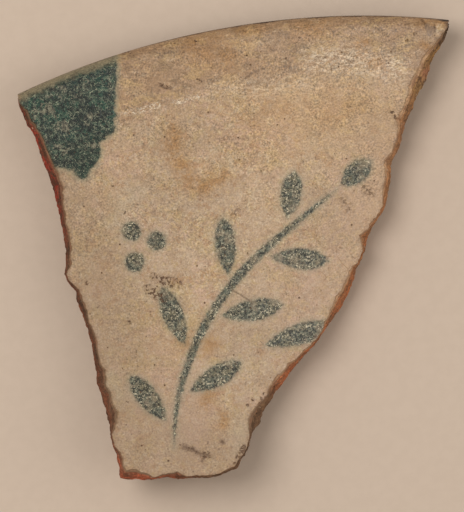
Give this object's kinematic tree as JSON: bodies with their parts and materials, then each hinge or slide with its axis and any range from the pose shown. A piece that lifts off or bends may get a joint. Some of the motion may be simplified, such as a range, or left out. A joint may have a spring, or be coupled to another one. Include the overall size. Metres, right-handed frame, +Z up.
{
  "type": "pottery sherd",
  "caption": "Rim sherd of a shallow glazed bowl: worn cream glaze over red clay, a green splash at the rim, a painted leaf spray, and broken edges on the other sides.",
  "frame": {"origin": "middle of the worn spot on the back that the sherd rests on", "axes": "+Z up out of the glazed hollow, +Y outwards across the rim, +X along the rim"},
  "size_m": [0.0745, 0.075, 0.0138],
  "materials": {
    "clay": "matt fired red earthenware, rough and granular where it broke",
    "slip": "matt pale slip",
    "cream_glaze": "worn cream glaze, finely crazed and stained",
    "worn_lip_glaze": "cream glaze worn brown along the lip",
    "outer_glaze": "dull worn glaze",
    "green_glaze": "mottled copper green glaze",
    "painted_glaze": "grey green colour that sank into the glaze, speckled"
  },
  "bodies": {
    "root": {"clay_body": "clay", "slip_coat": "slip", "inner_glaze": "cream_glaze", "lip_glaze": "worn_lip_glaze", "outer_glaze": "outer_glaze", "green_splash": "green_glaze", "painted_stem": "painted_glaze", "painted_leaf_1": "painted_glaze", "painted_leaf_2": "painted_glaze", "painted_leaf_3": "painted_glaze", "painted_leaf_4": "painted_glaze", "painted_leaf_5": "painted_glaze", "painted_leaf_6": "painted_glaze", "painted_leaf_7": "painted_glaze", "painted_leaf_8": "painted_glaze", "painted_leaf_at_break": "painted_glaze", "painted_berry_1": "painted_glaze", "painted_berry_2": "painted_glaze", "painted_berry_3": "painted_glaze"}
  },
  "joints": []
}
